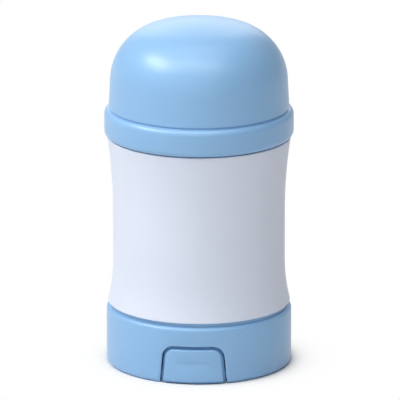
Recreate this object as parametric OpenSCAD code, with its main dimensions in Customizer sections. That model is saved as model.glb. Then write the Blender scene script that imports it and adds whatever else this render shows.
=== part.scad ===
// Refillable twist-up deodorant stick: domed cap, waisted sleeve, base ring with two squeeze tabs,
// and the refill that the tabs hold, with its feed screw and thumb dial.
// Millimetres, +Z up, origin at the centre of the base's underside, front tab towards -Y.

/* [Overall] */
// Height of the closed stick, from the underside to the crown
total_h = 94.2; // [90:0.1:105]
// Height of the base ring
base_h = 16.6; // [15:0.1:20]

/* [Base ring] */
// Diameter of the base ring
base_d = 49.8; // [49.4:0.1:56]
// Wall of the base ring
base_wall = 1.9; // [1.6:0.1:2.3]
// Radius of the base ring's bottom edge
base_foot_fillet = 1.2; // [0.4:0.1:1.4]
// Radius of the base ring's top edge
base_top_fillet = 1; // [0.3:0.1:1.1]
// Height of the shadow groove between the base ring's top edge and the sleeve
groove_h = 0.9; // [0.5:0.1:1.4]
// Wall of the lip that the sleeve stands on, behind the shadow groove
lip_t = 0.7; // [0.5:0.1:0.8]
// Height of the base ring above its windows
bridge_h = 6.2; // [5.9:0.1:8]
// Width of the catch ledge inside the base ring
ledge_w = 1; // [0.8:0.1:1.2]
// Thickness of the catch ledge
ledge_t = 1.4; // [1:0.1:1.6]

/* [Release tabs] */
// Width of a tab along its lower edge
tab_foot_w = 16.4; // [14:0.1:18]
// Width of a tab along its upper edge
tab_top_w = 14.6; // [12:0.1:16]
// Radius of a tab's upper corners
tab_corner_r = 2.5; // [1:0.1:4]
// Width of the groove round a tab
groove_w = 0.8; // [0.5:0.1:1.2]
// Height of a tab's lower edge above the surface it stands on
tab_lift = 0.3; // [0.1:0.1:0.6]
// Thickness of a tab's pad
pad_t = 1.8; // [1.4:0.1:1.8]
// Thickness of a tab's catch arm
arm_t = 1.2; // [0.9:0.1:1.5]
// Width of a tab's catch arm
arm_w = 8.4; // [7:0.1:9]
// Height of the hook on the catch arm
hook_h = 1.45; // [1:0.05:1.5]
// Angle by which a tab is pressed in
press_angle = 8; // [6:0.5:9]
// Diameter of a tab's pivot pin
pin_d = 1.5; // [1.2:0.1:1.8]
// Wall of the knuckle and ears round a pivot pin
knuckle_wall = 0.65; // [0.5:0.05:0.8]
// Thickness of an ear that holds a pivot pin
ear_t = 1.6; // [1:0.1:2]
// Width of the raised press mark on a tab
mark_w = 7.8; // [5:0.1:10]
// Height by which the press mark stands out
mark_t = 0.2; // [0.1:0.05:0.4]

/* [Tab springs] */
// Outer diameter of a tab spring
spring_d = 3.4; // [3:0.1:3.6]
// Diameter of the spring wire
wire_d = 0.4; // [0.3:0.05:0.5]
// Room for a tab spring between the chassis and the catch arm
spring_l = 4; // [3.6:0.1:4.4]
// Number of turns in a tab spring
spring_turns = 4; // [3:1:5]

/* [Sleeve] */
// Step from the base ring's side in to the sleeve's waist
waist_step = 1.8; // [1.6:0.05:2.7]
// Step from the base ring's side in to the sleeve's foot
foot_step = 0.3; // [0.1:0.05:1.3]
// Step from the base ring's side in to the sleeve's top
top_step = 0.2; // [0.1:0.05:1.5]
// Height over which the sleeve widens to its foot
foot_flare_h = 12; // [8:0.1:14]
// Height over which the sleeve widens to its top
top_flare_h = 20.5; // [14:0.1:22]
// Wall of the sleeve at its waist
sleeve_wall = 1.7; // [1.3:0.1:2]

/* [Neck collar] */
// Wall of the collar where it fits in the sleeve
collar_wall = 1.2; // [1:0.1:1.5]
// Length of the collar inside the sleeve
collar_in_h = 7.5; // [5:0.1:12]
// Thickness of the collar's flange
flange_t = 0.85; // [0.7:0.05:1.2]
// Wall of the neck above the flange
neck_wall = 0.85; // [0.7:0.05:0.95]
// Height of the neck above the flange
neck_h = 6.9; // [5:0.1:8]

/* [Cap] */
// Height of the dome above the cap's band
dome_h = 23.5; // [20:0.1:30]
// Width by which the cap's band stands out past the base ring
band_out = 0.5; // [0.3:0.05:2]
// Height of the cap's band
band_h = 7.9; // [6:0.1:9]
// Radius of the band's upper edge
band_fillet = 1.2; // [0.5:0.1:1.3]
// Radius of the band's lower edge
band_foot_fillet = 1; // [0.2:0.1:1.2]
// Step from the cap's band in to the dome's shoulder
dome_step = 1.59; // [1.3:0.01:1.95]
// Radius of the dome's shoulder arc
shoulder_r = 15.4; // [10:0.1:17]
// Radius of the dome's crown arc
crown_r = 46.5; // [40:0.5:70]
// Draft of the dome's skirt, in degrees
skirt_draft = 3; // [1:0.1:4]
// Radius of the fine groove between the band and the dome
crease_r = 0.3; // [0.1:0.05:0.5]
// Wall of the cap
cap_wall = 1.6; // [1.2:0.1:1.8]
// Height of the liner ring inside the cap
liner_h = 8.3; // [7:0.1:9.5]
// Thickness of the liner's flange
liner_flange_t = 1.2; // [0.8:0.1:1.6]

/* [Refill] */
// Wall of the refill barrel
barrel_wall = 1; // [0.8:0.1:1.4]
// Thickness of the barrel's floor
barrel_floor_t = 1.4; // [1:0.1:2]
// Height by which the barrel stands above the neck
barrel_rim_h = 0.8; // [0.4:0.1:1.6]
// Width of the key ribs inside the barrel
rib_w = 1.6; // [1.2:0.1:2.4]
// Depth of the key ribs
rib_depth = 1; // [0.7:0.1:1.4]
// Height of the carrier's wiper skirt
skirt_h = 5; // [4:0.1:6]
// Thickness of the carrier's plate, skirt and fins
carrier_t = 1.2; // [1:0.1:1.6]
// Height of the carrier's fins above its plate
fin_h = 5; // [3:0.1:7]
// Room between the carrier's fins and the barrel
fin_gap = 4.9; // [2:0.1:8]
// Product left above the spindle's tip when it is wound right down
product_cover = 1.8; // [1.4:0.1:4]
// Drop from the middle of the product's top to its edge
product_drop = 4; // [2:0.1:6]
// Room between the fully raised product and the cap
crown_gap = 4.6; // [2.5:0.1:6]

/* [Feed screw] */
// Crest diameter of the screw
screw_d = 9.2; // [8.4:0.1:9.8]
// Depth of the screw's thread
thread_depth = 1.2; // [0.8:0.05:1.3]
// Lead of the two-start thread
lead = 7; // [6:0.5:8]
// Height of the carrier's nut
nut_h = 7; // [5:0.1:9]
// Wall of the carrier's stem outside the screw
stem_wall = 1.3; // [1:0.1:1.6]
// Diameter of the spindle's journal
journal_d = 8; // [7:0.1:8.2]
// Width across the flats of the spindle's drive end
drive_af = 5.6; // [5:0.1:5.8]
// Thickness of the retaining clip
clip_t = 0.55; // [0.4:0.05:0.8]

/* [Chassis and dial] */
// Width of the chassis plate between the base ring and the dial's pocket
plate_w = 9.4; // [9:0.1:11.4]
// Height of the thumb dial
dial_h = 4; // [3.5:0.1:5]
// Depth by which the dial sits above the surface the stick stands on
dial_lift = 0.5; // [0.3:0.1:1]
// Width of the dial's grip bar
grip_w = 4; // [3:0.1:6]
// Thickness of the dial's rim and plate
dial_t = 1.2; // [1:0.1:1.6]
// Height of the chassis plate above the surface the stick stands on
plate_lift = 0.8; // [0.5:0.1:1.2]
// Thickness of the chassis plate
plate_t = 1.8; // [1.4:0.1:2]
// Wall of the chassis
chassis_wall = 1.2; // [1:0.1:1.5]
// Thickness of the chassis deck under the barrel
deck_t = 1.4; // [1:0.1:1.8]

/* [Clearances] */
// Gap between pieces that are pressed or snapped together
fit = 0.05; // [0.02:0.01:0.1]
// Gap round the barrel, and between pieces that slide on each other
slide_gap = 0.25; // [0.15:0.05:0.4]
// Gap between the thread of the screw and that of the nut
thread_gap = 0.3; // [0.25:0.05:0.4]
// Fine gap along parting lines and under hooks
seam = 0.15; // [0.1:0.05:0.25]

/* [Hidden] */
$fn = 96;

cap_blue = "#a9cdf2";
shell_white = "#eceef6";
inner_white = "#f4f5f8";
product_white = "#fbfbf6";
steel_grey = "#b8bcc2";
// Facets of the large arcs that run round a revolved outline
arc_fn = 360;
// Overlap of two curves where one runs smoothly into the other
blend = 0.001;

// Base ring, ledge and sleeve
base_r = base_d / 2;
base_in_r = base_r - base_wall;
ledge_r = base_in_r - ledge_w;
window_z = base_h - bridge_h;
ledge_z = window_z + 0.2;
ledge_top = ledge_z + ledge_t;
waist_r = base_r - waist_step;
bore_r = waist_r - sleeve_wall;
foot_r = base_r - foot_step;
top_r = base_r - top_step;
sleeve_z = base_h + seam;
cap_z = total_h - dome_h - band_h;
sleeve_top = cap_z - seam;
waist_z0 = base_h + foot_flare_h;
waist_z1 = cap_z - top_flare_h;

// Tabs: the pivot lies behind the pad, and the hook catches over the ledge
tab_z = window_z - groove_w;
pad_in_r = base_r - pad_t;
arm_r = ledge_r - 0.2;
arm_in_r = arm_r - arm_t;
knuckle_r = pin_d / 2 + knuckle_wall;
pivot_z = plate_lift + plate_t;
pivot_r = arm_r - 1.5;
hook_z = ledge_top + seam;
hook_r = base_in_r - 0.3;
arm_top = hook_z + hook_h;
arm_swing = (arm_top - pivot_z) * sin(press_angle);
// Gap between the knuckle and the ears
ear_gap = 0.2;
pin_l = arm_w + 2 * (ear_t + ear_gap);
spring_z = (pivot_z + arm_top) / 2 + 0.4;
spring_wall_y = arm_in_r - spring_l;
boss_d = spring_d - 2 * wire_d - 0.6;
boss_l = 0.8;
// The press mark lies at this share of the tab's height
mark_z = 0.57 * tab_z;

// Collar, barrel and the sleeve's spigot in the base ring
spigot_z = arm_top + 0.5;
spigot_r = base_in_r - fit;
collar_in_r = bore_r - fit - collar_wall;
flange_top = sleeve_top + flange_t;
flange_r = base_r + band_out - cap_wall - slide_gap;
neck_r = collar_in_r + neck_wall;
neck_top = flange_top + neck_h;
bead_r = 0.8;
bead_out = 0.12;
barrel_r = collar_in_r - slide_gap;
barrel_in_r = barrel_r - barrel_wall;
barrel_z = arm_top + 0.7;
barrel_floor = barrel_z + barrel_floor_t;
barrel_top = neck_top + barrel_rim_h;
deck_z = barrel_z - fit - deck_t;
lug_h = 1.2;
lug_w = 3;
lug_t = 1.6;
lug_r = barrel_in_r - 3;

// Cap: crown arc, shoulder arc and drafted skirt run into each other
band_top = cap_z + band_h;
band_r = base_r + band_out;
band_in_r = band_r - cap_wall;
shoulder_x = band_r - dome_step - shoulder_r;
crown_z = total_h - crown_r;
shoulder_z = crown_z + sqrt(pow(crown_r - shoulder_r + blend, 2) - pow(shoulder_x, 2));
crown_in_z = total_h - cap_wall;
liner_z = flange_top + 0.1;
liner_top = liner_z + liner_h;
liner_r = skirt_radius(liner_top, cap_wall) - fit;
liner_in_r = neck_r + slide_gap;

// Screw, carrier and dial
screw_r = screw_d / 2;
thread_mid_r = screw_r - thread_depth / 2;
stem_bore_r = screw_r + 0.4;
stem_r = stem_bore_r + stem_wall;
well_r = stem_r + 0.4;
clip_z = dial_lift + dial_h + 0.3;
groove_top = clip_z + clip_t + fit;
well_floor_z = groove_top + 0.1;
well_floor = well_floor_z + chassis_wall;
collar_t = 1;
screw_z = well_floor + fit + collar_t;
stem_low = screw_z + 0.45;
platform_low = barrel_floor + 0.2 + skirt_h;
travel = (crown_in_z - crown_gap - stem_low - nut_h - 1 - product_cover) / 2;
screw_top = stem_low + nut_h + travel + 0.5;
// The stick is drawn at half of its travel
platform_z = platform_low + travel / 2;
stem_z = stem_low + travel / 2;
carrier_r = barrel_in_r - 0.2;
product_r = barrel_in_r - 0.3;
product_bore_h = screw_top + 0.5 - platform_low;
product_h = product_bore_h + product_cover;
product_crown_r = (pow(product_r, 2) + pow(product_drop, 2)) / (2 * product_drop);
plate_r = base_in_r - 0.2;
pocket_r = plate_r - plate_w;
dial_r = pocket_r - 0.4;
dial_top = dial_lift + dial_h;
hub_r = drive_af / 2 + 2.2;
turn_points = 20;
turn_step = 20;

// Radius of the dome's skirt at height z, set in by the wall t
function skirt_radius(z, t = 0) =
    shoulder_x + (shoulder_r - t) * cos(skirt_draft)
    + (shoulder_z + (shoulder_r - t) * sin(skirt_draft) - z) * tan(skirt_draft);

// Sector of a disc between two angles
module sector(centre, r, a0, a1, facets = $fn) {
    mid = (a0 + a1) / 2;
    intersection() {
        translate(centre) circle(r, $fn = facets);
        polygon([centre,
                 centre + 2 * r * [cos(a0), sin(a0)],
                 centre + 3 * r * [cos(mid), sin(mid)],
                 centre + 2 * r * [cos(a1), sin(a1)]]);
    }
}

// Section of a ring whose two outer edges are rounded
module ring_2d(r0, r1, z0, z1, foot_fillet, top_fillet) {
    polygon([[r0, z0], [r1 - foot_fillet, z0], [r1 - foot_fillet, z0 + foot_fillet],
             [r1, z0 + foot_fillet], [r1, z1 - top_fillet],
             [r1 - top_fillet, z1 - top_fillet], [r1 - top_fillet, z1], [r0, z1]]);
    sector([r1 - foot_fillet, z0 + foot_fillet], foot_fillet, 270, 360);
    sector([r1 - top_fillet, z1 - top_fillet], top_fillet, 0, 90);
}

// Tube between two heights
module tube(r_out, r_in, z0, z1) {
    rotate_extrude() translate([r_in, z0]) square([r_out - r_in, z1 - z0]);
}

// Keeps what lies within a width across X, on the front side
module front_slab(w, z0, z1) {
    translate([-w / 2, -base_d, z0]) cube([w, base_d, z1 - z0]);
}

// Cap

// Section of the dome above height z0, set in by the wall t
module dome_2d(z0, t) {
    // The crown arc ends where it meets the shoulder arc
    crown_x = (crown_r - t) * shoulder_x / (crown_r - shoulder_r);
    skirt_z = shoulder_z + (shoulder_r - t) * sin(skirt_draft);
    intersection() {
        translate([0, crown_z]) circle(crown_r - t, $fn = arc_fn);
        translate([0, z0]) square([crown_x, total_h - z0 + 1]);
    }
    intersection() {
        translate([shoulder_x, shoulder_z]) circle(shoulder_r - t, $fn = arc_fn);
        translate([crown_x - 2, shoulder_z - 3]) square([shoulder_r + 2, shoulder_r + 3]);
    }
    polygon([[crown_x - 1, z0], [skirt_radius(z0, t) - blend, z0],
             [skirt_radius(skirt_z, t) - blend, skirt_z], [crown_x - 1, skirt_z]]);
}

module cap_shell() {
    recess_top = band_top - cap_wall;
    color(cap_blue) rotate_extrude() difference() {
        union() {
            dome_2d(cap_z + band_foot_fillet, 0);
            ring_2d(0, band_r, cap_z, band_top, band_foot_fillet, band_fillet);
        }
        dome_2d(cap_z, cap_wall);
        translate([0, cap_z - 1]) square([band_in_r, recess_top - cap_z + 1]);
        translate([skirt_radius(band_top), band_top]) circle(crease_r, $fn = 48);
    }
}

module cap_liner() {
    flange_out_r = band_in_r - fit;
    color(inner_white) rotate_extrude() difference() {
        union() {
            translate([liner_in_r, liner_z]) square([liner_r - liner_in_r, liner_h]);
            translate([liner_in_r, liner_z]) square([flange_out_r - liner_in_r, liner_flange_t]);
        }
        // Lead-in at the mouth
        polygon([[liner_in_r - 1, liner_z - 1], [liner_in_r + 0.5, liner_z - 1],
                 [liner_in_r + 0.5, liner_z], [liner_in_r, liner_z + 0.8],
                 [liner_in_r - 1, liner_z + 0.8]]);
    }
}

// Sleeve and neck

// What lies outside the waisted outline of the sleeve
module waist_cut_2d() {
    reach = 8;
    foot_dr = foot_r - waist_r;
    top_dr = top_r - waist_r;
    foot_arc = (pow(foot_flare_h, 2) + pow(foot_dr, 2)) / (2 * foot_dr);
    top_arc = (pow(top_flare_h, 2) + pow(top_dr, 2)) / (2 * top_dr);
    translate([waist_r, waist_z0]) square([reach, waist_z1 - waist_z0]);
    intersection() {
        translate([waist_r + foot_arc, waist_z0]) circle(foot_arc, $fn = arc_fn);
        translate([waist_r - 1, waist_z0 - foot_flare_h - 1]) square([reach + 1, foot_flare_h + 1]);
    }
    intersection() {
        translate([waist_r + top_arc, waist_z1]) circle(top_arc, $fn = 2 * arc_fn);
        translate([waist_r - 1, waist_z1]) square([reach + 1, top_flare_h + 1]);
    }
}

module body_sleeve() {
    blank_r = max(foot_r, top_r) + 1;
    color(shell_white) rotate_extrude() difference() {
        polygon([[bore_r, spigot_z], [spigot_r, spigot_z], [spigot_r, sleeve_z],
                 [blank_r, sleeve_z], [blank_r, sleeve_top], [bore_r, sleeve_top]]);
        waist_cut_2d();
    }
}

module neck_collar() {
    color(inner_white) rotate_extrude() {
        translate([collar_in_r, sleeve_top - collar_in_h]) square([collar_wall, collar_in_h]);
        translate([collar_in_r, sleeve_top]) square([flange_r - collar_in_r, flange_t]);
        translate([collar_in_r, flange_top]) square([neck_wall, neck_h]);
        // Bead that the liner clicks over
        intersection() {
            translate([neck_r + bead_out - bead_r, neck_top - 2.2]) circle(bead_r, $fn = 48);
            translate([neck_r - 0.3, neck_top - 3.4]) square([1, 2.4]);
        }
    }
}

// Base ring

// Outline of a tab in X and Z, grown by the groove for its window, down to height z0
module tab_outline_2d(grow, z0) {
    slope = atan2((tab_foot_w - tab_top_w) / 2, tab_z);
    // Distance of the sloping side from the origin, along its normal
    reach = tab_foot_w / 2 * cos(slope) + grow;
    top = tab_z + grow;
    r = tab_corner_r + grow;
    cz = top - r;
    cx = (reach - r - cz * sin(slope)) / cos(slope);
    foot = (reach - z0 * sin(slope)) / cos(slope);
    side = [cx, cz] + r * [cos(slope), sin(slope)];
    polygon([[-foot, z0], [foot, z0], side, [cx, cz], [cx, top], [-cx, top], [-cx, cz],
             [-side[0], side[1]]]);
    for (x = [-cx, cx]) translate([x, cz]) circle(r + blend);
}

module base_ring() {
    color(cap_blue) difference() {
        union() {
            rotate_extrude() {
                ring_2d(base_in_r, base_r, 0, base_h - groove_h, base_foot_fillet,
                        base_top_fillet);
                translate([base_in_r, 1]) square([lip_t, base_h - 1]);
            }
            tube(base_in_r + 0.5, ledge_r, ledge_z, ledge_top);
        }
        rotate([90, 0, 0]) linear_extrude(2 * base_d, center = true) tab_outline_2d(groove_w, -1);
    }
}

// Release tabs, their pins and springs

module tab_bore(d, l) {
    translate([-l / 2, -pivot_r, pivot_z]) rotate([0, 90, 0]) cylinder(d = d, h = l);
}

module release_tab() {
    web_t = 1.2;
    web_top = tab_z - 1.6;
    difference() {
        union() {
            // Pad, flush with the base ring
            intersection() {
                rotate_extrude()
                    ring_2d(pad_in_r, base_r, 0, base_h, base_foot_fillet, base_top_fillet);
                rotate([90, 0, 0]) linear_extrude(base_d) tab_outline_2d(0, tab_lift);
            }
            // Press mark
            intersection() {
                tube(base_r + mark_t, base_r - 0.3, mark_z - 0.3, mark_z + 0.3);
                front_slab(mark_w, 0, base_h);
            }
            // Catch arm with its hook
            intersection() {
                rotate_extrude() {
                    translate([arm_in_r, pivot_z - knuckle_r])
                        square([arm_t, arm_top - pivot_z + knuckle_r]);
                    polygon([[arm_r - 0.2, hook_z], [hook_r, hook_z], [hook_r, hook_z + 0.4],
                             [arm_r, arm_top], [arm_r - 0.2, arm_top]]);
                }
                front_slab(arm_w, 0, base_h);
            }
            // Two upright webs and a crossbar join the pad to the arm
            intersection() {
                tube(pad_in_r + 0.3, arm_r - 0.3, pivot_z - knuckle_r, web_top);
                union() {
                    for (x = [-1, 1] * (arm_w - web_t) / 2) translate([x, 0, 0])
                        front_slab(web_t, 0, base_h);
                    front_slab(arm_w, web_top - web_t, base_h);
                }
            }
            tab_bore(2 * knuckle_r, arm_w);
            // Boss that centres the spring
            translate([0, -arm_in_r - 0.3, spring_z]) rotate([-90, 0, 0])
                cylinder(d = boss_d, h = boss_l + 0.3);
        }
        tab_bore(pin_d + 2 * fit, arm_w + 2);
    }
}

module release_tab_front() color(cap_blue) release_tab();
module release_tab_back() color(cap_blue) rotate([0, 0, 180]) release_tab();

module tab_pin() color(steel_grey) tab_bore(pin_d, pin_l);
module tab_pin_front() tab_pin();
module tab_pin_back() rotate([0, 0, 180]) tab_pin();

// Coil spring along +Z: rings of points round a helix, closed at both ends
module coil(l, r, wire_r, turns) {
    sides = 8;
    steps = 14 * turns;
    pitch = (l - 2 * wire_r) / turns;
    slope = atan2(pitch, 2 * PI * r);
    points = [for (i = [0:steps]) for (j = [0:sides - 1])
        let (a = 360 * turns * i / steps, b = 360 * j / sides, z = wire_r + pitch * turns * i / steps,
             out = wire_r * cos(b), up = wire_r * sin(b))
        [(r + out) * cos(a) + up * sin(slope) * sin(a),
         (r + out) * sin(a) - up * sin(slope) * cos(a),
         z + up * cos(slope)]];
    walls = [for (i = [0:steps - 1]) for (j = [0:sides - 1])
        let (k = (j + 1) % sides, a = i * sides, b = a + sides) each
        [[a + j, b + k, a + k], [a + j, b + j, b + k]]];
    ends = [[for (j = [0:sides - 1]) j], [for (j = [sides - 1:-1:0]) steps * sides + j]];
    polyhedron(points, concat(walls, ends), convexity = 10);
}

module tab_spring() {
    color(steel_grey) translate([0, -spring_wall_y - 0.1, spring_z]) rotate([90, 0, 0])
        coil(spring_l - 0.2, (spring_d - wire_d) / 2, wire_d / 2, spring_turns);
}
module tab_spring_front() tab_spring();
module tab_spring_back() rotate([0, 0, 180]) tab_spring();

// Chassis that carries the refill, the tabs and the dial

// Ears for one pivot pin, and the wall behind the spring
module tab_seat() {
    for (x = [-1, 1] * (arm_w / 2 + ear_gap + ear_t / 2)) translate([x - ear_t / 2, 0, 0]) {
        translate([0, -pivot_r, pivot_z]) rotate([0, 90, 0]) cylinder(r = knuckle_r, h = ear_t);
        translate([0, -pivot_r - knuckle_r, plate_lift])
            cube([ear_t, 2 * knuckle_r, pivot_z - plate_lift]);
    }
    translate([-arm_w / 2, -spring_wall_y, pivot_z - 0.5])
        cube([arm_w, chassis_wall, deck_z - pivot_z + 1]);
    translate([0, -spring_wall_y + 0.3, spring_z]) rotate([90, 0, 0])
        cylinder(d = boss_d, h = boss_l + 0.3);
    translate([-chassis_wall / 2, -spring_wall_y + 0.3, well_floor - 0.3])
        cube([chassis_wall, spring_wall_y - well_r - 0.8, deck_z - well_floor + 0.8]);
}

module chassis() {
    deck_r = barrel_r + 0.4;
    column_r = well_r + chassis_wall;
    // The posts end just under the base ring's ledge
    post_top = ledge_z - 0.1;
    post_t = 1.5;
    post_w = 6;
    // Inner limit of the cut that lets an arm swing in, at the arm's curved edges
    swing_y = sqrt(pow(arm_in_r, 2) - pow(arm_w / 2, 2)) - arm_swing - 0.3;
    color(inner_white) difference() {
        union() {
            // Plate with the ears and knuckle slots
            difference() {
                tube(plate_r, pocket_r, plate_lift, plate_lift + plate_t);
                for (a = [0, 180]) rotate([0, 0, a])
                    translate([-arm_w / 2 - ear_gap, -base_d, 0])
                        cube([arm_w + 2 * ear_gap, base_d - pivot_r + knuckle_r + 0.4, pivot_z + 1]);
            }
            // Dial pocket, well and deck
            tube(pocket_r + chassis_wall, pocket_r, plate_lift, well_floor);
            tube(pocket_r + chassis_wall, journal_d / 2 + seam, well_floor_z, well_floor);
            tube(column_r, well_r, well_floor - 0.5, deck_z + 0.5);
            difference() {
                tube(deck_r, well_r, deck_z, deck_z + deck_t);
                for (a = [0, 180]) rotate([0, 0, a])
                    translate([-arm_w / 2 - 0.4, -base_d, deck_z - 1])
                        cube([arm_w + 0.8, base_d - swing_y, deck_t + 2]);
            }
            // Ribs from the well to the posts under the ledge
            for (a = [45:90:315]) rotate([0, 0, a]) {
                translate([column_r - 0.4, -chassis_wall / 2, well_floor - 0.5])
                    cube([plate_r - column_r - 0.8, chassis_wall, post_top - well_floor + 0.5]);
                translate([pocket_r + 0.5, -chassis_wall / 2, pivot_z - 0.5])
                    cube([plate_r - pocket_r - 1.5, chassis_wall, well_floor - pivot_z + 1]);
                intersection() {
                    tube(plate_r, plate_r - post_t, pivot_z - 0.5, post_top);
                    translate([0, -post_w / 2, 0]) cube([base_r, post_w, base_h]);
                }
            }
            // Side ribs under the deck
            for (a = [0, 180]) rotate([0, 0, a])
                translate([column_r - 0.4, -chassis_wall / 2, well_floor - 0.5])
                    cube([deck_r - column_r, chassis_wall, deck_z - well_floor + 1]);
            for (a = [0, 180]) rotate([0, 0, a]) tab_seat();
        }
        for (a = [0, 180]) rotate([0, 0, a]) tab_bore(pin_d + 2 * fit, pin_l + 2);
        // Slots for the barrel's lugs
        for (a = [0, 180]) rotate([0, 0, a])
            translate([lug_r - lug_t / 2 - fit, -lug_w / 2 - fit, deck_z - 1])
                cube([lug_t + 2 * fit, lug_w + 2 * fit, deck_t + 2]);
    }
}

// Refill

module refill_barrel() {
    color(inner_white) {
        tube(barrel_r, barrel_in_r, barrel_z, barrel_top);
        tube(barrel_r, stem_r + 0.3, barrel_z, barrel_floor);
        for (a = [0, 180]) rotate([0, 0, a]) {
            // Key rib, which stops short of the mouth
            intersection() {
                tube(barrel_r - 0.3, barrel_in_r - rib_depth, barrel_floor - 0.5, neck_top - 4);
                translate([0, -rib_w / 2, 0]) cube([base_d, rib_w, total_h]);
            }
            translate([lug_r - lug_t / 2, -lug_w / 2, barrel_z - lug_h])
                cube([lug_t, lug_w, lug_h + 0.5]);
        }
    }
}

// Slots that let the barrel's key ribs pass
module key_slots(z0, z1) {
    gap = slide_gap;
    for (a = [0, 180]) rotate([0, 0, a])
        translate([barrel_in_r - rib_depth - gap, -rib_w / 2 - gap, z0])
            cube([rib_depth + 2, rib_w + 2 * gap, z1 - z0]);
}

// Fins and collar that anchor the product on the carrier, grown by a gap
module anchor(grow) {
    tip = platform_z + fin_h + grow;
    translate([0, 0, platform_z]) cylinder(r = stem_r + grow, h = tip - platform_z);
    for (a = [45:90:315]) rotate([0, 0, a])
        translate([stem_r - 0.5, -carrier_t / 2 - grow, platform_z])
            cube([barrel_in_r - fin_gap - stem_r + 0.5 + grow, carrier_t + 2 * grow,
                  tip - platform_z]);
}

module deodorant() {
    crown = platform_z + product_h;
    color(product_white) difference() {
        rotate_extrude() intersection() {
            translate([0, platform_z]) square([product_r, product_h + 1]);
            translate([0, crown - product_crown_r]) circle(product_crown_r, $fn = arc_fn);
        }
        translate([0, 0, platform_z - 1]) cylinder(r = stem_bore_r, h = product_bore_h + 1);
        anchor(fit);
        key_slots(platform_z - 1, crown + 1);
    }
}

// Section of the two-start thread, a circle with two lobes
function thread_section(grow) = [for (i = [0:turn_points - 1])
    let (a = 360 * i / turn_points, r = thread_mid_r + grow + thread_depth / 2 * cos(2 * a))
    r * [cos(a), sin(a)]];

// Left-hand thread from height z0, in phase with the spindle
module thread(z0, h, grow) {
    turn = 360 * (z0 - screw_z) / lead;
    translate([0, 0, z0]) rotate([0, 0, -turn])
        linear_extrude(h, twist = 360 * h / lead, slices = ceil(360 * h / lead / turn_step),
                       $fn = turn_points)
            polygon(thread_section(grow));
}

module carrier() {
    stem_top = platform_z + fin_h;
    color(inner_white) difference() {
        union() {
            translate([0, 0, platform_z - carrier_t]) cylinder(r = carrier_r, h = carrier_t);
            tube(carrier_r, carrier_r - carrier_t, platform_z - skirt_h, platform_z);
            translate([0, 0, stem_z]) cylinder(r = stem_r, h = platform_z - stem_z);
            anchor(0);
            // Gussets between the stem and the skirt
            for (a = [45:90:315]) rotate([0, 0, a])
                translate([stem_r - 0.5, -carrier_t / 2, platform_z - skirt_h + 1])
                    cube([carrier_r - stem_r, carrier_t, skirt_h - 1.5]);
        }
        thread(stem_z - 1, nut_h + 1.5, thread_gap);
        translate([0, 0, stem_z + nut_h]) cylinder(r = stem_bore_r, h = stem_top - stem_z);
        key_slots(platform_z - skirt_h - 1, platform_z + 1);
    }
}

// Spindle, clip and dial

module spindle() {
    drive_z = dial_lift + dial_t;
    color(inner_white) {
        thread(screw_z, screw_top - screw_z, 0);
        translate([0, 0, screw_z - collar_t]) cylinder(r = stem_r - 0.3, h = collar_t);
        translate([0, 0, groove_top]) cylinder(d = journal_d, h = screw_z - collar_t - groove_top);
        translate([0, 0, clip_z - fit]) cylinder(d = drive_af, h = groove_top - clip_z + fit);
        translate([0, 0, drive_z])
            cylinder(d = drive_af / cos(30), h = clip_z - fit - drive_z, $fn = 6);
    }
}

module dial_clip() {
    mouth = drive_af - 1;
    color(steel_grey) difference() {
        tube(journal_d / 2 + 1.2, drive_af / 2 + fit, clip_z, clip_z + clip_t);
        translate([0, -mouth / 2, clip_z - 1]) cube([journal_d, mouth, clip_t + 2]);
    }
}

module dial() {
    plate_z = dial_top - dial_t;
    color(cap_blue) difference() {
        union() {
            translate([0, 0, plate_z]) cylinder(r = dial_r, h = dial_t);
            rotate_extrude()
                ring_2d(dial_r - dial_t, dial_r, dial_lift, plate_z + 0.5, 0.5, 0.2);
            translate([0, 0, dial_lift + 0.3]) cylinder(r = hub_r, h = plate_z - dial_lift);
            // Grip bar across the dish
            intersection() {
                translate([0, 0, dial_lift]) cylinder(r = dial_r - 0.5, h = dial_h - 0.5);
                translate([-dial_r, -grip_w / 2, dial_lift + 0.2])
                    cube([2 * dial_r, grip_w, plate_z - dial_lift]);
            }
        }
        translate([0, 0, dial_lift + dial_t - 0.1])
            cylinder(d = (drive_af + 2 * fit) / cos(30), h = dial_h, $fn = 6);
    }
}

cap_shell();
cap_liner();
body_sleeve();
neck_collar();
base_ring();
chassis();
release_tab_front();
release_tab_back();
tab_pin_front();
tab_pin_back();
tab_spring_front();
tab_spring_back();
refill_barrel();
deodorant();
carrier();
spindle();
dial();
dial_clip();
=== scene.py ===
# A refillable twist-up deodorant stick: blue domed cap, white waisted sleeve, blue base ring with two squeeze
# tabs, and the refill inside. Sizes are in millimetres and are turned to metres by MM.
import math

import bpy
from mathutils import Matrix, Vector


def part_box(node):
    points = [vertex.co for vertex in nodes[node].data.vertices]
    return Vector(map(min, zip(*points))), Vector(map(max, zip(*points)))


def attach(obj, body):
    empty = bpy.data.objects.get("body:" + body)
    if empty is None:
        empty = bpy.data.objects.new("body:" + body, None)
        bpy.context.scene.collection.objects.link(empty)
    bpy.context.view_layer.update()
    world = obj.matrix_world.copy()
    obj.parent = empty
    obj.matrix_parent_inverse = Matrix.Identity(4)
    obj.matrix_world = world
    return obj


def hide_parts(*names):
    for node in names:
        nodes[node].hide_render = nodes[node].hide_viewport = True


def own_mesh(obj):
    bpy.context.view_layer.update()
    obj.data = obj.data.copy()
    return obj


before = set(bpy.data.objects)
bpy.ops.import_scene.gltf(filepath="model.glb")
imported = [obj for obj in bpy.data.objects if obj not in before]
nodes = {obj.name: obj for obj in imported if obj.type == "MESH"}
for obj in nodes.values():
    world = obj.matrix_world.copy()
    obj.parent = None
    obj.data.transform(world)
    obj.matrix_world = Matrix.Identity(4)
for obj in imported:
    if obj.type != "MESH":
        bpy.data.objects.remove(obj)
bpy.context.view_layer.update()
MM = 0.001

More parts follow.
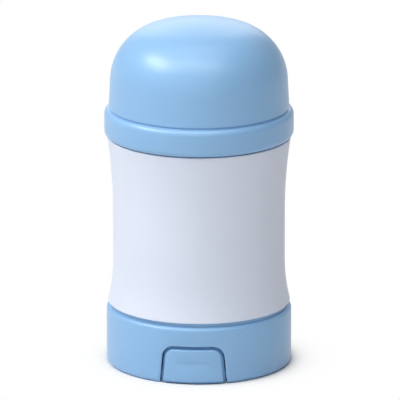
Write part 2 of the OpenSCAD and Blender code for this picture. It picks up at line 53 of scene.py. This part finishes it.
# Base ring
# The ring at the foot of the stick is moulded in blue polypropylene with a satin finish. It has a window for
# each squeeze tab, a ledge inside that the tabs catch on, and a lip on top that the sleeve stands on.
BASE_RADIUS = 24.9
BASE_HEIGHT = 16.6
BASE_BORE = 23.0
SHADOW_GROOVE = 0.9
LIP_WALL = 0.7
LEDGE_RADIUS, LEDGE_FOOT, LEDGE_TOP = 22.0, 10.6, 12.0
TAB_FOOT, TAB_TOP, TAB_HEIGHT, TAB_CORNER = 8.2, 7.3, 9.6, 2.5
TAB_GROOVE = 0.8
RING_ROUNDING = 1.2
EDGE_ROUNDING = 0.45
EDGE_STEPS = 4
# A slow drift of colour over a moulding, the spread of its gloss, and how strongly its grain shows.
DRIFT_SIZE, DRIFT = 22, 0.02
GLOSS_SPREAD = 0.04
GRAIN_STRENGTH = 0.12
# Points closer than this are one. Up to these degrees a bend is shaded smooth, on a new shape and on a copy.
MERGE_DISTANCE = 0.002
SMOOTH_BEND, COPY_BEND = 35, 30
# A cutter starts below the foot and ends outside the ring. Two faces meet sharply where the cosine between
# their normals is below SHARP. An outer edge lies within OUTER_DEPTH of the ring's outer side, and a window's
# edges lie within WINDOW_REACH of its middle, up to WINDOW_SPARE above its top.
BELOW_FOOT = -1
CUTTER_END = 30
SHARP = 0.8
OUTER_DEPTH = 0.75
WINDOW_REACH, WINDOW_SPARE = 9.5, 0.1


def hex_linear(code):
    """An sRGB hex colour as linear red, green, blue and alpha."""
    parts = [int(code[i:i + 2], 16) / 255 for i in (1, 3, 5)]
    return [c / 12.92 if c <= 0.04045 else ((c + 0.055) / 1.055) ** 2.4 for c in parts] + [1]


def add_node(tree, kind, inputs=None, **settings):
    """Adds a node. An input takes a value, or another node's output to link."""
    node = tree.nodes.new(kind)
    for name, value in settings.items():
        setattr(node, name, value)
    for name, value in (inputs or {}).items():
        if isinstance(value, bpy.types.NodeSocket):
            tree.links.new(value, node.inputs[name])
        else:
            node.inputs[name].default_value = value
    return node


def empty_tree(owner):
    """The node tree of a material or of the world, emptied."""
    owner.use_nodes = True
    owner.node_tree.nodes.clear()
    return owner.node_tree


def moulded(name, colour, roughness, grain=0.35, depth=0.006, **shader):
    """A moulded, poured or drawn surface: a grain, width and depth in mm, and a slow drift of colour."""
    material = bpy.data.materials.new(name)
    tree = empty_tree(material)
    place = add_node(tree, "ShaderNodeTexCoord").outputs["Object"]
    fine = add_node(tree, "ShaderNodeTexNoise",
                    {"Vector": place, "Scale": 1 / (grain * MM), "Detail": 2.0, "Roughness": 0.6})
    slow = add_node(tree, "ShaderNodeTexNoise",
                    {"Vector": place, "Scale": 1 / (DRIFT_SIZE * MM), "Detail": 2.0})
    shade = add_node(tree, "ShaderNodeMapRange",
                     {"Value": slow.outputs["Fac"], "To Min": 1 - DRIFT, "To Max": 1 + DRIFT})
    tint = add_node(tree, "ShaderNodeHueSaturation",
                    {"Color": hex_linear(colour), "Value": shade.outputs["Result"]})
    gloss = add_node(tree, "ShaderNodeMapRange",
                     {"Value": fine.outputs["Fac"], "To Min": roughness - GLOSS_SPREAD,
                      "To Max": roughness + GLOSS_SPREAD})
    bump = add_node(tree, "ShaderNodeBump",
                    {"Height": fine.outputs["Fac"], "Strength": GRAIN_STRENGTH, "Distance": depth * MM})
    body = add_node(tree, "ShaderNodeBsdfPrincipled",
                    {"Base Color": tint.outputs["Color"], "Roughness": gloss.outputs["Result"],
                     "Normal": bump.outputs["Normal"], **shader})
    add_node(tree, "ShaderNodeOutputMaterial", {"Surface": body.outputs["BSDF"]})
    return material


def clear_selection():
    bpy.ops.object.select_all(action="DESELECT")


def activate(piece):
    """Selects one piece and makes it the active one."""
    clear_selection()
    piece.select_set(True)
    bpy.context.view_layer.objects.active = piece


def rounded(corners, steps=6):
    """An outline in which each corner (x, z, radius) is rounded by its radius."""
    outline = []
    for i, (x, z, radius) in enumerate(corners):
        if not radius:
            outline.append((x, z))
            continue
        before, after = corners[i - 1], corners[(i + 1) % len(corners)]
        a = math.atan2(before[1] - z, before[0] - x)
        b = math.atan2(after[1] - z, after[0] - x)
        half = (b - a + math.pi) % (2 * math.pi) - math.pi
        middle = a + half / 2
        away = radius / math.sin(abs(half) / 2)
        centre = (x + away * math.cos(middle), z + away * math.sin(middle))
        sweep = math.copysign(math.pi - abs(half), half)
        first = middle + math.pi + sweep / 2
        outline += [(centre[0] + radius * math.cos(first - sweep * k / steps),
                     centre[1] + radius * math.sin(first - sweep * k / steps)) for k in range(steps + 1)]
    return outline


def drawn_line(name, outline):
    """Draws an outline of (x, z) in mm at y = 0, one extruded point after another, and stays in edit mode."""
    clear_selection()
    bpy.ops.mesh.primitive_plane_add(size=MM)
    piece = bpy.context.object
    piece.name = name
    bpy.ops.object.mode_set(mode="EDIT")
    bpy.ops.mesh.select_all(action="SELECT")
    bpy.ops.mesh.merge(type="CENTER")
    bpy.ops.transform.translate(value=(outline[0][0] * MM, 0, outline[0][1] * MM))
    for (x0, z0), (x1, z1) in zip(outline, outline[1:]):
        bpy.ops.mesh.extrude_region_move(
            TRANSFORM_OT_translate={"value": ((x1 - x0) * MM, 0, (z1 - z0) * MM)})
    bpy.ops.mesh.select_all(action="SELECT")
    return piece


def close_and_smooth(piece, smooth=SMOOTH_BEND):
    """Merges doubles, turns the faces outwards, leaves edit mode and smooths what bends gently."""
    bpy.ops.mesh.select_all(action="SELECT")
    bpy.ops.mesh.remove_doubles(threshold=MERGE_DISTANCE * MM)
    bpy.ops.mesh.normals_make_consistent(inside=False)
    bpy.ops.object.mode_set(mode="OBJECT")
    activate(piece)
    bpy.ops.object.shade_smooth_by_angle(angle=math.radians(smooth))


def turned(name, outline, steps=192):
    """Spins an outline of (radius, height) round the stick's axis."""
    piece = drawn_line(name, outline)
    bpy.ops.mesh.spin(steps=steps, angle=2 * math.pi, center=(0, 0, 0), axis=(0, 0, 1))
    close_and_smooth(piece)
    return piece


def slab(name, outline, y0, y1):
    """A closed outline of (x, z), filled and extruded from y0 to y1."""
    piece = drawn_line(name, outline + outline[:1])
    bpy.ops.mesh.remove_doubles(threshold=MERGE_DISTANCE * MM)
    bpy.ops.mesh.edge_face_add()
    bpy.ops.transform.translate(value=(0, y0 * MM, 0))
    bpy.ops.mesh.extrude_region_move(TRANSFORM_OT_translate={"value": (0, (y1 - y0) * MM, 0)})
    close_and_smooth(piece)
    return piece


def combine(piece, other, operation):
    """Applies a Boolean and removes the other piece."""
    activate(piece)
    modifier = piece.modifiers.new("cut", "BOOLEAN")
    modifier.operation = operation
    modifier.solver = "EXACT"
    modifier.object = other
    bpy.ops.object.modifier_apply(modifier="cut")
    bpy.data.objects.remove(other)


def round_edges(piece, chosen):
    """Rounds the edges that pass the test chosen(a, b, normals): end points in mm, and the faces' normals."""
    mesh = piece.data
    activate(piece)
    normals = {}
    for face in mesh.polygons:
        for key in face.edge_keys:
            normals.setdefault(key, []).append(face.normal.copy())
    for item in (*mesh.vertices, *mesh.edges, *mesh.polygons):
        item.select = False
    for edge in mesh.edges:
        a, b = (mesh.vertices[v].co / MM for v in edge.vertices)
        if chosen(a, b, normals.get(edge.key, [])):
            edge.select = True
            for v in edge.vertices:
                mesh.vertices[v].select = True
    bpy.context.tool_settings.mesh_select_mode = (False, True, False)
    bpy.ops.object.mode_set(mode="EDIT")
    bpy.ops.mesh.bevel(offset=EDGE_ROUNDING * MM, segments=EDGE_STEPS, affect="EDGES",
                       clamp_overlap=False, loop_slide=False)
    bpy.ops.mesh.select_mode(type="VERT")
    close_and_smooth(piece)


def window_outline(grow, foot):
    """Outline of a tab's window in X and Z: sides that lean in, round upper corners, open below."""
    lean = math.atan2(TAB_FOOT - TAB_TOP, TAB_HEIGHT)
    side = TAB_FOOT * math.cos(lean) + grow
    top = TAB_HEIGHT + grow
    at = {z: (side - z * math.sin(lean)) / math.cos(lean) for z in (foot, top)}
    return rounded([(at[foot], foot, 0), (at[top], top, TAB_CORNER + grow),
                    (-at[top], top, TAB_CORNER + grow), (-at[foot], foot, 0)], 10)


def merged_copy(node, name):
    """A new piece with a CAD node's mesh, its loose triangles merged."""
    piece = bpy.data.objects.new(name, nodes[node].data.copy())
    bpy.context.scene.collection.objects.link(piece)
    activate(piece)
    bpy.ops.object.mode_set(mode="EDIT")
    close_and_smooth(piece, COPY_BEND)
    return piece


def finish_piece(piece, material, body, node):
    """Gives a piece its material, says what it rides on, and hides the CAD node that it stands for."""
    piece.data.materials.clear()
    piece.data.materials.append(material)
    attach(piece, body)
    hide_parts(node)


# Polypropylene moulded against a fine spark-eroded tool: an even satin sheen with broad soft highlights.
blue_polypropylene = moulded("blue_satin_polypropylene", "#8bb9e3", 0.34,
                             **{"IOR": 1.5, "Specular IOR Level": 0.55})

shoulder = BASE_HEIGHT - SHADOW_GROOVE
lip = BASE_BORE + LIP_WALL
profile = rounded([(BASE_BORE, 0, 0.2), (BASE_RADIUS, 0, RING_ROUNDING),
                   (BASE_RADIUS, shoulder, RING_ROUNDING), (lip, shoulder, 0.15),
                   (lip, BASE_HEIGHT, 0.1), (BASE_BORE, BASE_HEIGHT, 0),
                   (BASE_BORE, LEDGE_TOP, 0), (LEDGE_RADIUS, LEDGE_TOP, 0.2), (LEDGE_RADIUS, LEDGE_FOOT, 0.2),
                   (BASE_BORE, LEDGE_FOOT, 0)])
base = turned("base_ring_moulding", profile + profile[:1])
combine(base, slab("window_cutter", window_outline(TAB_GROOVE, BELOW_FOOT), -CUTTER_END, CUTTER_END),
        "DIFFERENCE")


def outer_edge(a, b, normals):
    """Whether an edge is sharp and lies on the ring's outer side."""
    outside = min(math.hypot(a.x, a.y), math.hypot(b.x, b.y)) > BASE_RADIUS - OUTER_DEPTH
    return outside and len(normals) == 2 and normals[0].dot(normals[1]) < SHARP


def window_edge(a, b, normals):
    """Whether an outer edge runs along a window's outline."""
    low_enough = max(a.z, b.z) < TAB_HEIGHT + TAB_GROOVE + WINDOW_SPARE
    return outer_edge(a, b, normals) and low_enough and max(abs(a.x), abs(b.x)) < WINDOW_REACH


round_edges(base, window_edge)
finish_piece(base, blue_polypropylene, "case", "base_ring")

# Release tabs
# Each tab is a blue moulding that fills its window flush with the ring. Its edges are softly rounded, and a
# shallow finger mark runs across it. Behind the pad stand a flange, which closes the groove round it, and a
# catch arm with a hook, on a knuckle for the pin.
PAD_WALL = 1.8
TAB_LIFT = 0.3
FLANGE_WALL = 0.8
FLANGE_REACH = 0.45
MARK_HEIGHT = 5.5
MARK_DEPTH = 0.16
MARK_RADIUS = 2.5
MARK_SWEEP = 40.0
# Pad and flange are cut from a ring as high as SEGMENT_TOP, outside SEGMENT_START. The arm is the CAD tab
# without its pad, which a ring REMOVER_MARGIN too big takes off, all but ARM_OVERLAP.
SEGMENT_START = 10
SEGMENT_TOP = 12
ARM_OVERLAP = 0.2
REMOVER_MARGIN = 2
REMOVER_STEPS = 96


def ring_segment(name, inner, outer, foot_rounding, outline, side):
    """The part of a ring, from one radius to another, inside an outline on one side of the stick."""
    profile = rounded([(inner, 0, 0), (outer, 0, foot_rounding),
                       (outer, SEGMENT_TOP, 0), (inner, SEGMENT_TOP, 0)])
    segment = turned(name, profile + profile[:1])
    combine(segment, slab("outline_cutter", outline, SEGMENT_START * side, CUTTER_END * side), "INTERSECT")
    return segment


pad_back = BASE_RADIUS - PAD_WALL
for name, side in (("front", -1), ("back", 1)):
    pad = ring_segment("tab_" + name, pad_back, BASE_RADIUS, RING_ROUNDING, window_outline(0, TAB_LIFT), side)
    bpy.ops.mesh.primitive_torus_add(
        major_radius=MARK_SWEEP * MM, minor_radius=MARK_RADIUS * MM, major_segments=720, minor_segments=96,
        location=(0, side * (BASE_RADIUS + MARK_RADIUS - MARK_DEPTH - MARK_SWEEP) * MM, MARK_HEIGHT * MM))
    mark = bpy.context.object
    activate(mark)
    bpy.ops.object.transform_apply()
    combine(pad, mark, "DIFFERENCE")
    round_edges(pad, outer_edge)
    flange = ring_segment("flange", pad_back, pad_back + FLANGE_WALL, 0,
                          window_outline(FLANGE_REACH, TAB_LIFT), side)
    arm = merged_copy("release_tab_" + name, "arm")
    arm_end = pad_back + ARM_OVERLAP
    outside = BASE_RADIUS + REMOVER_MARGIN
    profile = [(arm_end, -REMOVER_MARGIN), (outside, -REMOVER_MARGIN), (outside, SEGMENT_TOP),
               (arm_end, SEGMENT_TOP)]
    combine(arm, turned("pad_remover", profile + profile[:1], REMOVER_STEPS), "DIFFERENCE")
    activate(pad)
    arm.select_set(True)
    flange.select_set(True)
    arm.data.materials.clear()
    bpy.ops.object.join()
    finish_piece(pad, blue_polypropylene, name + "_tab", "release_tab_" + name)

# Sleeve
# The sleeve is a waisted tube moulded in white polypropylene with a matt finish. Its foot stands on the base
# ring's lip, over a fine shadow groove, and its spigot is pressed into the ring.
SEAM = 0.15
SLEEVE_FOOT = BASE_HEIGHT + SEAM
SLEEVE_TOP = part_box("body_sleeve")[1][2] / MM
SPIGOT_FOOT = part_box("body_sleeve")[0][2] / MM
SPIGOT_RADIUS = 22.95
SLEEVE_WALL = 1.7
SLEEVE_EDGE = 0.3
WAIST = 23.1
FOOT_FLARE_HEIGHT, FOOT_FLARE_OUT = 12.0, 1.5
TOP_FLARE_HEIGHT, TOP_FLARE_OUT = 20.5, 1.6


def flare(height, widening, steps):
    """Heights from the waist, and widenings, along a flare's arc."""
    radius = (height ** 2 + widening ** 2) / (2 * widening)
    heights = [height * k / steps for k in range(steps + 1)]
    return [(h, radius - math.sqrt(radius ** 2 - h ** 2)) for h in heights]


# White polypropylene with a faint cool tint, moulded with a fine matt grain: soft, almost without highlights.
white_polypropylene = moulded("white_matt_polypropylene", "#dee5f4", 0.45,
                              **{"IOR": 1.5, "Specular IOR Level": 0.4})

waist_low = BASE_HEIGHT + FOOT_FLARE_HEIGHT
waist_high = SLEEVE_TOP + SEAM - TOP_FLARE_HEIGHT
flank = [(WAIST + out, waist_low - h) for h, out in flare(FOOT_FLARE_HEIGHT, FOOT_FLARE_OUT, 12)[::-1]]
flank += [(WAIST + out, waist_high + h) for h, out in flare(TOP_FLARE_HEIGHT, TOP_FLARE_OUT, 16)]
bore = WAIST - SLEEVE_WALL
foot_edge = rounded([(bore, SLEEVE_FOOT, 0), (SPIGOT_RADIUS, SLEEVE_FOOT, 0.1),
                     (flank[0][0], SLEEVE_FOOT, SLEEVE_EDGE), (*flank[1], 0)])
top_edge = rounded([(*flank[-2], 0), (flank[-1][0], SLEEVE_TOP, SLEEVE_EDGE), (bore, SLEEVE_TOP, 0.2),
                    (bore, SLEEVE_FOOT, 0)])
outline = [(bore, SPIGOT_FOOT), (SPIGOT_RADIUS, SPIGOT_FOOT)] + foot_edge[1:-1] + flank[1:-1]
outline += top_edge[1:-1] + [(bore, SPIGOT_FOOT)]
sleeve = turned("sleeve", outline)
finish_piece(sleeve, white_polypropylene, "case", "body_sleeve")

# Inner mouldings
# The cap's liner, the neck's collar, the chassis, the refill barrel, the carrier and the spindle are moulded
# in polypropylene without pigment, and press or screw together. The dial under the foot is blue, as the base
# ring is.

# Polypropylene without pigment is a warm milky white that lets a little light in, with a smooth low sheen.
natural_polypropylene = moulded("natural_polypropylene", "#f0f0ec", 0.42,
                                **{"Subsurface Weight": 0.05, "Subsurface Scale": 0.002})
for name in ("cap_liner", "neck_collar", "chassis", "refill_barrel", "carrier", "spindle"):
    nodes[name].material_slots[0].material = natural_polypropylene
nodes["dial"].material_slots[0].material = blue_polypropylene

# Product
# The deodorant is a stick of wax and soap, poured into the barrel round the carrier's fins and keyed to the
# barrel's ribs. Its crown is gently domed and its edge is worn round.
PRODUCT_RADIUS = 18.55
PRODUCT_FOOT, PRODUCT_CROWN = (corner[2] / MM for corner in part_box("deodorant"))
PRODUCT_CROWN_RADIUS = 45.2
PRODUCT_EDGE = 1.4
PRODUCT_SINK = 0.05


def arc(x, z, radius, start, end, steps):
    """Points along an arc in the outline's plane, angles in degrees from the radial direction."""
    angles = [math.radians(start + (end - start) * i / steps) for i in range(steps + 1)]
    return [(x + radius * math.cos(a), z + radius * math.sin(a)) for a in angles]


# Poured wax is dull and a little see-through, with a faint unevenness where it set.
stick_wax = moulded("poured_stick_wax", "#f3f0e6", 0.55, grain=0.8, depth=0.03,
                    **{"Subsurface Weight": 0.25, "Subsurface Scale": 0.004})

centre_z = PRODUCT_CROWN - PRODUCT_SINK - PRODUCT_CROWN_RADIUS
edge_x = PRODUCT_RADIUS - PRODUCT_EDGE
edge_rise = math.sqrt((PRODUCT_CROWN_RADIUS - PRODUCT_EDGE) ** 2 - edge_x ** 2)
lean = math.degrees(math.atan2(edge_rise, edge_x))
outline = arc(0, centre_z, PRODUCT_CROWN_RADIUS, 90, lean, 16)
outline += arc(edge_x, centre_z + edge_rise, PRODUCT_EDGE, lean, 0, 8)[1:]
product = turned("product_stick", outline + [(PRODUCT_RADIUS, PRODUCT_FOOT), (0, PRODUCT_FOOT)])
combine(product, merged_copy("deodorant", "cast"), "INTERSECT")
activate(product)
bpy.ops.object.mode_set(mode="EDIT")
close_and_smooth(product)
finish_piece(product, stick_wax, "lift", "deodorant")

# Drawn stainless steel is a cool grey metal, bright, with a fine drag that softens its reflections.
steel_wire = moulded("drawn_stainless_steel", "#b9bcc0", 0.28, grain=0.2, depth=0.003, Metallic=1.0)
for name in ("tab_pin_front", "tab_pin_back", "dial_clip"):
    nodes[name].material_slots[0].material = steel_wire
for name, side in (("front", -1), ("back", 1)):
    spring = merged_copy("tab_spring_" + name, "spring_" + name)
    finish_piece(spring, steel_wire, "case", "tab_spring_" + name)
    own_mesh(spring)

# Cap
# The cap is one moulding in the same blue polypropylene: a dome that runs down into a drafted skirt, and a
# wider band round its mouth with full soft edges. A fine crease parts the band from the dome.
BAND_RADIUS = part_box("cap_shell")[1][0] / MM
CAP_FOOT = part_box("cap_shell")[0][2] / MM
CAP_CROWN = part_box("cap_shell")[1][2] / MM
BAND_HEIGHT = 7.65
BAND_TOP_ROUNDING = 2.0
BAND_FOOT_ROUNDING = 1.45
CREASE = 0.35
CREASE_LIP_OUT, CREASE_LIP_DOWN = 0.6 * CREASE, 0.95 * CREASE
CAP_WALL = 1.6
SHOULDER_RADIUS = 15.4
SHOULDER_INSET = 1.59
SHOULDER_CENTRE_X = BAND_RADIUS - SHOULDER_INSET - SHOULDER_RADIUS
CROWN_RADIUS = 46.5
SKIRT_DRAFT = 3.0


def dome(inset, foot):
    """Outline of the dome, set in by a distance, from the axis to the skirt, and the skirt's foot."""
    crown_centre = CAP_CROWN - CROWN_RADIUS
    rise = math.sqrt((CROWN_RADIUS - SHOULDER_RADIUS) ** 2 - SHOULDER_CENTRE_X ** 2)
    lean = math.degrees(math.atan2(rise, SHOULDER_CENTRE_X))
    crown = arc(0, crown_centre, CROWN_RADIUS - inset, 90, lean, 14)
    shoulder = arc(SHOULDER_CENTRE_X, crown_centre + rise, SHOULDER_RADIUS - inset, lean, SKIRT_DRAFT, 24)
    x, z = shoulder[-1]
    skirt = (x + (z - foot) * math.tan(math.radians(SKIRT_DRAFT)), foot)
    return crown + shoulder[1:], skirt


band_top = CAP_FOOT + BAND_HEIGHT
outer, outer_foot = dome(0, band_top)
inner, inner_foot = dome(CAP_WALL, band_top - CAP_WALL)
mouth = BAND_RADIUS - CAP_WALL
skirt_end = (outer_foot[0] - CREASE * math.sin(math.radians(SKIRT_DRAFT)), band_top + CREASE)
crease = arc(*outer_foot, CREASE, 90, 270, 8)[1:]
crease += [(outer_foot[0] + CREASE_LIP_OUT, band_top - CREASE_LIP_DOWN)]
lean = math.degrees(math.acos((outer_foot[0] + CREASE - BAND_RADIUS + BAND_TOP_ROUNDING) / BAND_TOP_ROUNDING))
band = arc(BAND_RADIUS - BAND_TOP_ROUNDING, band_top - BAND_TOP_ROUNDING, BAND_TOP_ROUNDING, lean, 0, 10)
rim = rounded([(*band[-1], 0), (BAND_RADIUS, CAP_FOOT, BAND_FOOT_ROUNDING), (mouth, CAP_FOOT, 0.1),
               (mouth, inner_foot[1], 0.3), (*inner_foot, 0.2), (*inner[-1], 0)])
cap = turned("cap_dome", outer + [skirt_end] + crease + band[:-1] + rim[:-1] + inner[::-1])
finish_piece(cap, blue_polypropylene, "cap", "cap_shell")

# Studio
# A plain white sweep. The key lamp stands at the upper left and a large soft box hangs over the front, with a
# smaller lamp on top and fills in front and behind. The camera looks from a little above, as the photograph's
# does. The distances of camera and lamps, and the sizes of lamps and floor, are in metres.
CAMERA_DISTANCE = 2.0
CAMERA_AZIMUTH = 3.7
CAMERA_ELEVATION = 15.5
VIEW_WIDTH = 107.5
VIEW_CENTRE = (0.27, 0, 44.4)
LAMP_CENTRE = (0, 0, 45)
FLOOR_SIZE = 6
FLOOR_SHADOW_POWER = 12
WORLD_GLOSS = 0.5
WORLD_FILL = 0.07


def aim(obj, distance, azimuth, elevation, target):
    """Places an object round a target, azimuth from the front towards +X, and points it at the target."""
    a, e = math.radians(azimuth), math.radians(elevation)
    away = (math.cos(e) * math.sin(a), -math.cos(e) * math.cos(a), math.sin(e))
    obj.location = [t * MM + distance * d for t, d in zip(target, away)]
    obj.rotation_euler = (math.pi / 2 - e, 0, a)


def soft_lamp(name, watts, width, height, distance, azimuth, elevation):
    """A rectangular soft box, its sizes and distance in metres, aimed at the object's middle."""
    bpy.ops.object.light_add(type="AREA")
    lamp = bpy.context.object
    lamp.name = name
    lamp.data.shape = "RECTANGLE"
    lamp.data.size = width
    lamp.data.size_y = height
    lamp.data.energy = watts
    aim(lamp, distance, azimuth, elevation, LAMP_CENTRE)


def seen_share(tree, glossy=1.0):
    """How much of the white a ray sees: all for the camera and through glass, a share in reflections."""
    path = add_node(tree, "ShaderNodeLightPath").outputs
    mirrored = add_node(tree, "ShaderNodeMath", {0: path["Is Glossy Ray"], 1: glossy}, operation="MULTIPLY")
    sharp = add_node(tree, "ShaderNodeMath", {0: path["Is Camera Ray"], 1: mirrored.outputs[0]},
                     operation="MAXIMUM")
    seen = add_node(tree, "ShaderNodeMath", {0: sharp.outputs[0], 1: path["Is Transmission Ray"]},
                    operation="MAXIMUM")
    return seen.outputs[0]


bpy.ops.object.camera_add()
camera = bpy.context.object
aim(camera, CAMERA_DISTANCE, CAMERA_AZIMUTH, CAMERA_ELEVATION, VIEW_CENTRE)
camera.data.lens = camera.data.sensor_width * CAMERA_DISTANCE / (VIEW_WIDTH * MM)
bpy.context.scene.camera = camera

soft_lamp("key", 4.9, 0.55, 0.22, 0.9, -76, 47)
soft_lamp("front_overhead", 5.1, 1.0, 0.42, 1.0, -4, 62)
soft_lamp("top", 1.7, 0.8, 0.4, 1.0, 0, 93)
soft_lamp("front_fill", 2.0, 1.2, 1.2, 1.0, -5, 8)
soft_lamp("back_fill", 4.2, 1.0, 1.0, 1.5, 184, 25)

# Matt white paper that shows as plain white and keeps the object's shadow close round its foot.
clear_selection()
bpy.ops.mesh.primitive_plane_add(size=FLOOR_SIZE)
floor = bpy.context.object
floor.name = "floor"
white_sweep = bpy.data.materials.new("white_sweep")
tree = empty_tree(white_sweep)
place = add_node(tree, "ShaderNodeTexCoord").outputs["Object"]
away = add_node(tree, "ShaderNodeVectorMath", {0: place}, operation="LENGTH")
near = add_node(tree, "ShaderNodeMath", {0: BASE_RADIUS * MM, 1: away.outputs["Value"]}, operation="DIVIDE")
shadow = add_node(tree, "ShaderNodeMath", {0: near.outputs[0], 1: FLOOR_SHADOW_POWER}, operation="POWER")
clear = add_node(tree, "ShaderNodeMath", {0: 1.0, 1: shadow.outputs[0]}, operation="SUBTRACT", use_clamp=True)
mix = add_node(tree, "ShaderNodeMath", {0: seen_share(tree), 1: clear.outputs[0]}, operation="MULTIPLY")
paper = add_node(tree, "ShaderNodeBsdfDiffuse", {"Color": hex_linear("#eaeaea")})
glow = add_node(tree, "ShaderNodeEmission", {"Color": hex_linear("#ffffff"), "Strength": 1.0})
both = add_node(tree, "ShaderNodeMixShader", {0: mix.outputs[0], 1: paper.outputs[0], 2: glow.outputs[0]})
add_node(tree, "ShaderNodeOutputMaterial", {"Surface": both.outputs[0]})
floor.data.materials.append(white_sweep)

# White walls all round, which fill the shadows a little and show in the plastic's sheen at half strength.
world = bpy.data.worlds.new("studio")
bpy.context.scene.world = world
tree = empty_tree(world)
strength = add_node(tree, "ShaderNodeMapRange",
                    {"Value": seen_share(tree, WORLD_GLOSS), "To Min": WORLD_FILL, "To Max": 1})
sky = add_node(tree, "ShaderNodeBackground",
               {"Color": hex_linear("#ffffff"), "Strength": strength.outputs["Result"]})
add_node(tree, "ShaderNodeOutputWorld", {"Surface": sky.outputs[0]})
bpy.context.scene.view_settings.view_transform = "Standard"
